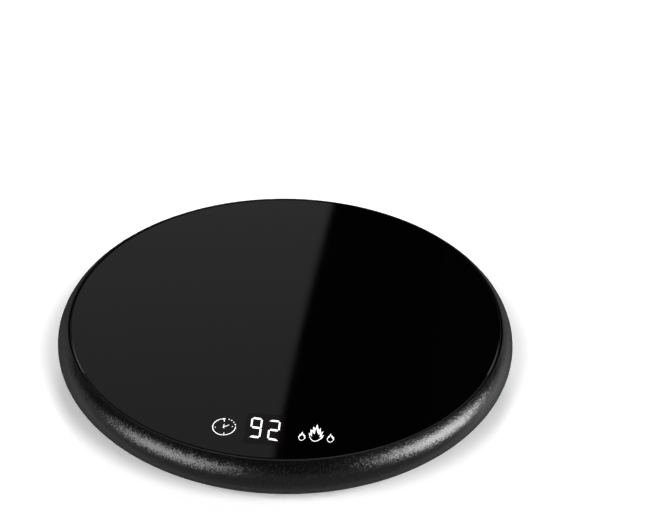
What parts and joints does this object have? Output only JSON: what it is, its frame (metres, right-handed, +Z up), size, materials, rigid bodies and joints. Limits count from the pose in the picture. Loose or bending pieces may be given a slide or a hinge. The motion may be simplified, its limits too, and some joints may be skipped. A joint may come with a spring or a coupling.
{
  "type": "electric mug warmer",
  "caption": "Round electric mug warmer: black glass warming plate in a rounded rim, touch signs and a digital display under the glass, vented base on rubber feet.",
  "frame": {"origin": "centre of the footprint, on the surface that the feet stand on", "axes": "+Z up through the glass, -Y towards the display and the user, +Y towards the cord gland"},
  "size_m": [0.128, 0.1279, 0.0171],
  "materials": {
    "rim_plastic": "fine-grained black moulding with a faint sparkle",
    "base_plastic": "matte black moulding",
    "black_glass": "polished glass, printed black on the underside so that it reads as opaque",
    "adhesive_tape": "black foam tape",
    "foot_rubber": "soft matte rubber",
    "screw_steel": "zinc-plated screws",
    "gland_rubber": "black elastomer",
    "pad_silicone": "soft grey silicone",
    "plate_aluminium": "rolled sheet",
    "mica": "pressed mica sheet",
    "ribbon_alloy": "flat resistance alloy",
    "felt": "ceramic fibre felt",
    "pressed_steel": "galvanised sheet",
    "steatite": "unglazed ceramic",
    "sensor_body": "epoxy-dipped bead",
    "fuse_brass": "plain brass can",
    "board_green": "solder resist on laminate",
    "display_body": "white reflector block",
    "display_light": "diffusing resin",
    "spring_steel": "gold-plated spring wire",
    "white_plastic": "natural nylon",
    "led_resin": "clear resin on a white base",
    "component_black": "moulded epoxy",
    "capacitor_yellow": "moulded box",
    "capacitor_sleeve": "shrink sleeve on an aluminium can",
    "ferrite": "ferrite drum with a dark winding",
    "terminal_green": "moulded terminal body",
    "lead_sleeve": "braided glass sleeve",
    "wire_black": "soft insulated wire",
    "wire_grey": "soft insulated wire"
  },
  "bodies": {
    "root": {"upper_housing": "rim_plastic", "bottom_cover": "base_plastic", "glass_panel": "black_glass", "glass_tape": "adhesive_tape", "rubber_foot_1": "foot_rubber", "rubber_foot_2": "foot_rubber", "rubber_foot_3": "foot_rubber", "rubber_foot_4": "foot_rubber", "housing_screws": "screw_steel", "cord_gland": "gland_rubber", "thermal_pad": "pad_silicone", "heating_plate": "plate_aluminium", "upper_mica_sheet": "mica", "heating_element": "ribbon_alloy", "lower_mica_sheet": "mica", "insulation_felt": "felt", "heater_retainer": "pressed_steel", "retainer_screws": "screw_steel", "sensor_bush": "steatite", "thermistor": "sensor_body", "thermal_fuse": "fuse_brass", "fuse_clip": "pressed_steel", "control_board": "board_green", "display_module": "display_body", "display_bars": "display_light", "timer_touch_spring": "spring_steel", "heat_touch_spring": "spring_steel", "timer_light_cup": "white_plastic", "heat_light_cup": "white_plastic", "timer_led": "led_resin", "heat_leds": "led_resin", "microcontroller": "component_black", "buzzer": "component_black", "control_socket": "white_plastic", "sensor_socket": "white_plastic", "control_board_screws": "screw_steel", "power_board": "board_green", "film_capacitor": "capacitor_yellow", "smoothing_capacitor": "capacitor_sleeve", "choke": "ferrite", "triac": "component_black", "board_fuse": "steatite", "mains_terminal": "terminal_green", "power_header": "white_plastic", "power_board_screws": "screw_steel", "heater_leads": "lead_sleeve", "sensor_leads": "wire_black", "sensor_plug": "white_plastic", "link_cable": "wire_grey", "link_plugs": "white_plastic"}
  },
  "joints": []
}
